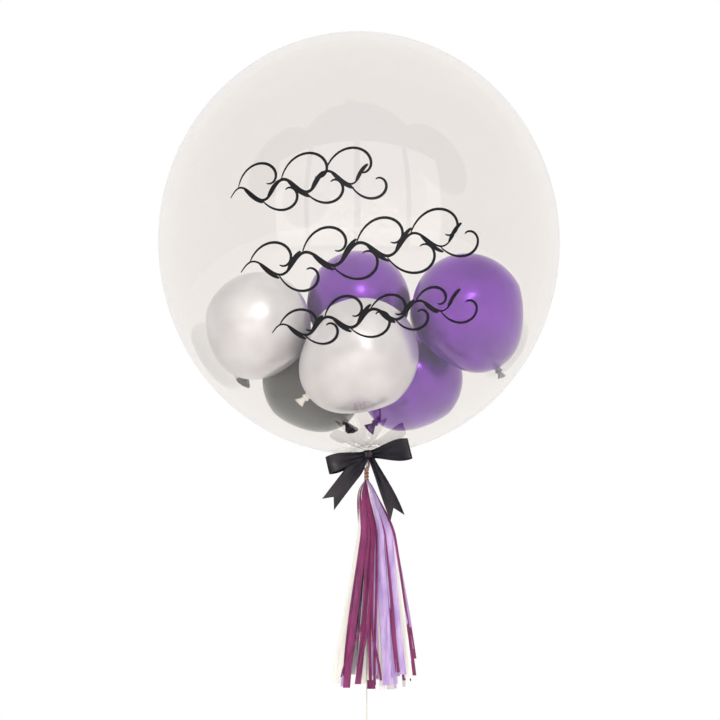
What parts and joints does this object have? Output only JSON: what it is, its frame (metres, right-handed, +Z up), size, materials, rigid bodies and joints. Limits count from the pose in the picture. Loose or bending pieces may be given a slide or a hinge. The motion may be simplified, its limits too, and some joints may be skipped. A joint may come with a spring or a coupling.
{
  "type": "helium balloon",
  "caption": "Clear bubble balloon with small latex balloons inside, a black satin bow at its neck and a tissue strip tassel on a straight string.",
  "frame": {"origin": "the point inside the tie loop, at the string's lower end, where a hook or a weight holds the balloon down", "axes": "+Z up along the string to the balloon, -Y to the front, where the bow is tied"},
  "size_m": [0.5697, 0.57, 1.0001],
  "materials": {
    "clear_film": "clear stretched film, glossy",
    "black_satin": "black satin ribbon",
    "rose_twist": "twisted rose-tan paper",
    "plum_tissue": "matte plum tissue paper",
    "lavender_tissue": "matte lavender tissue paper",
    "ivory_tissue": "matte ivory tissue paper",
    "pale_string": "thin pale twine"
  },
  "bodies": {
    "root": {"bubble": "clear_film", "satin_bow": "black_satin", "tassel_loop": "rose_twist", "plum_fringe": "plum_tissue", "lavender_fringe": "lavender_tissue", "ivory_fringe": "ivory_tissue", "string": "pale_string", "tie_loop": "pale_string"}
  },
  "joints": []
}
